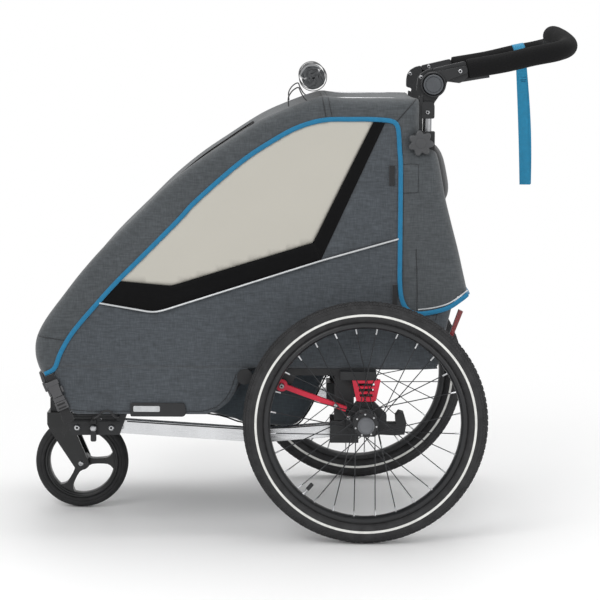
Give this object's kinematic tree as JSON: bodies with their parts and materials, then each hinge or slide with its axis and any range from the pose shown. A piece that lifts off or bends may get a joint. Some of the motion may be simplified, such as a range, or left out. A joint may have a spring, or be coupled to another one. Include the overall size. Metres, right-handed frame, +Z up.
{
  "type": "child bicycle trailer",
  "caption": "Single-seat child trailer: grey fabric cabin on a folding tube frame, sprung spoked wheels, swivel front wheel and foam push handle.",
  "frame": {"origin": "centre of the bounding box in X and Y, on the ground", "axes": "+X towards the push handle (rear), +Y to the trailer's right-hand side, +Z up"},
  "size_m": [1.1346, 0.6988, 1.041],
  "materials": {
    "aluminium": "bright brushed aluminium tube",
    "steel": "zinc-plated steel",
    "black_tube": "black powder coat",
    "grey_tube": "grey anodised tube",
    "plastic": "black glass-filled nylon",
    "cap_plastic": "grey soft-touch cap",
    "red_plastic": "crimson elastomer and coated arm",
    "tyre": "rubber tyre with a reflective stripe",
    "rim": "black anodised rim and spokes",
    "caster_rubber": "black caster tread",
    "foam": "closed-cell foam grip",
    "grey_fabric": "grey melange polyester",
    "dark_fabric": "dark blue-grey polyester",
    "black_fabric": "black padded polyester",
    "blue_webbing": "blue woven webbing",
    "lens": "dark red reflector lens"
  },
  "bodies": {
    "chassis": {"rail_left": "aluminium", "rail_right": "aluminium", "front_crossbar": "aluminium", "axle_beam": "black_tube", "front_bracket_left": "plastic", "front_bracket_right": "plastic", "caster_mount": "plastic", "suspension_bracket_left": "plastic", "suspension_bracket_right": "plastic", "elastomer_left": "red_plastic", "elastomer_right": "red_plastic", "axle_clamp_left": "plastic", "axle_clamp_right": "plastic", "base_frame": "aluminium", "front_batten": "steel", "side_panel_left": "grey_fabric", "side_panel_right": "grey_fabric", "roof_cover": "grey_fabric", "rear_cover": "grey_fabric", "floor_tub": "dark_fabric", "seat_cushion": "black_fabric", "rain_cover_roll": "dark_fabric", "tail_light": "lens", "front_buckle_left": "plastic", "front_buckle_right": "plastic"},
    "drawbar_pin": {"drawbar_pin": "steel", "pin_tether": "plastic"},
    "brake": {"brake_pedal": "plastic"},
    "caster_fork": {"caster_fork": "plastic", "caster_axle": "steel"},
    "caster_wheel": {"caster_tyre": "caster_rubber", "caster_rim": "plastic"},
    "rear_hoop": {"rear_hoop": "aluminium", "post_clamp_left": "plastic", "post_clamp_right": "plastic", "backrest": "black_fabric"},
    "handle_posts": {"handle_post_left": "grey_tube", "handle_post_right": "grey_tube", "tilt_base_left": "plastic", "tilt_base_right": "plastic"},
    "handlebar": {"handlebar_tube": "black_tube", "foam_grip": "foam", "tilt_arm_left": "plastic", "tilt_arm_right": "plastic"},
    "wrist_strap": {"wrist_strap": "blue_webbing"},
    "swing_left": {"swing_arm_left": "red_plastic", "axle_carrier_left": "plastic"},
    "wheel_left": {"tyre_left": "tyre", "spoked_rim_left": "rim"},
    "hub_button_left": {"hub_button_left": "cap_plastic"},
    "knob_left": {"star_knob_left": "plastic"},
    "tilt_button_left": {"tilt_button_left": "cap_plastic"},
    "swing_right": {"swing_arm_right": "red_plastic", "axle_carrier_right": "plastic"},
    "wheel_right": {"tyre_right": "tyre", "spoked_rim_right": "rim"},
    "hub_button_right": {"hub_button_right": "cap_plastic"},
    "knob_right": {"star_knob_right": "plastic"},
    "tilt_button_right": {"tilt_button_right": "cap_plastic"}
  },
  "joints": [
    {"name": "hoop_fold", "type": "hinge", "parent": "chassis", "child": "rear_hoop", "pos_m": [0.2695, 0, 0.362], "axis": [0, -1, 0], "range_deg": [0, 68], "deforming": ["side_panel_left", "side_panel_right", "roof_cover", "front_batten", "rain_cover_roll", "backrest"]},
    {"name": "handle_height", "type": "slide", "parent": "rear_hoop", "child": "handle_posts", "axis": [0, 0, 1], "range_m": [0, 0.07]},
    {"name": "handle_tilt", "type": "hinge", "parent": "handle_posts", "child": "handlebar", "pos_m": [0.2675, 0, 0.922], "axis": [0, -1, 0], "range_deg": [-60, 35], "deforming": ["wrist_strap"]},
    {"name": "strap_swing", "type": "hinge", "parent": "handlebar", "child": "wrist_strap", "pos_m": [0.4845, 0.193, 0.983], "axis": [0, -1, 0], "range_deg": [-35, 60], "deforming": ["wrist_strap"]},
    {"name": "caster_swivel", "type": "hinge", "parent": "chassis", "child": "caster_fork", "pos_m": [-0.5155, 0, 0.225], "axis": [0, 0, 1], "continuous": true},
    {"name": "caster_spin", "type": "hinge", "parent": "caster_fork", "child": "caster_wheel", "pos_m": [-0.4675, 0, 0.1003], "axis": [0, 1, 0], "continuous": true},
    {"name": "pin_pull", "type": "slide", "parent": "chassis", "child": "drawbar_pin", "axis": [0, -1, 0], "range_m": [0, 0.045], "deforming": ["pin_tether"]},
    {"name": "brake_press", "type": "hinge", "parent": "chassis", "child": "brake", "pos_m": [0.1545, 0, 0.222], "axis": [0, 1, 0], "range_deg": [0, 25]},
    {"name": "suspension_left", "type": "hinge", "parent": "chassis", "child": "swing_left", "pos_m": [-0.0345, 0, 0.316], "axis": [0, -1, 0], "range_deg": [0, 4], "stiffness_Nm_per_rad": 900, "springref_deg": -2.58, "deforming": ["elastomer_left"]},
    {"name": "wheel_spin_left", "type": "hinge", "parent": "swing_left", "child": "wheel_left", "pos_m": [0.1345, -0.31, 0.247], "axis": [0, 1, 0], "continuous": true},
    {"name": "hub_press_left", "type": "slide", "parent": "wheel_left", "child": "hub_button_left", "axis": [0, 1, 0], "range_m": [0, 0.004], "stiffness_N_per_m": 600, "springref_m": -0.002},
    {"name": "knob_turn_left", "type": "hinge", "parent": "rear_hoop", "child": "knob_left", "pos_m": [0.2425, -0.226, 0.805], "axis": [0, -1, 0], "range_deg": [0, 360]},
    {"name": "tilt_press_left", "type": "slide", "parent": "handlebar", "child": "tilt_button_left", "axis": [0, 1, 0], "range_m": [0, 0.003], "stiffness_N_per_m": 800, "springref_m": -0.002},
    {"name": "suspension_right", "type": "hinge", "parent": "chassis", "child": "swing_right", "pos_m": [-0.0345, 0, 0.316], "axis": [0, -1, 0], "range_deg": [0, 4], "stiffness_Nm_per_rad": 900, "springref_deg": -2.58, "deforming": ["elastomer_right"]},
    {"name": "wheel_spin_right", "type": "hinge", "parent": "swing_right", "child": "wheel_right", "pos_m": [0.1345, 0.31, 0.247], "axis": [0, 1, 0], "continuous": true},
    {"name": "hub_press_right", "type": "slide", "parent": "wheel_right", "child": "hub_button_right", "axis": [0, -1, 0], "range_m": [0, 0.004], "stiffness_N_per_m": 600, "springref_m": -0.002},
    {"name": "knob_turn_right", "type": "hinge", "parent": "rear_hoop", "child": "knob_right", "pos_m": [0.2425, 0.226, 0.805], "axis": [0, 1, 0], "range_deg": [0, 360]},
    {"name": "tilt_press_right", "type": "slide", "parent": "handlebar", "child": "tilt_button_right", "axis": [0, -1, 0], "range_m": [0, 0.003], "stiffness_N_per_m": 800, "springref_m": -0.002}
  ],
  "couplings": [
    {"joint": "strap_swing", "follows": "handle_tilt", "ratio": -1}
  ]
}
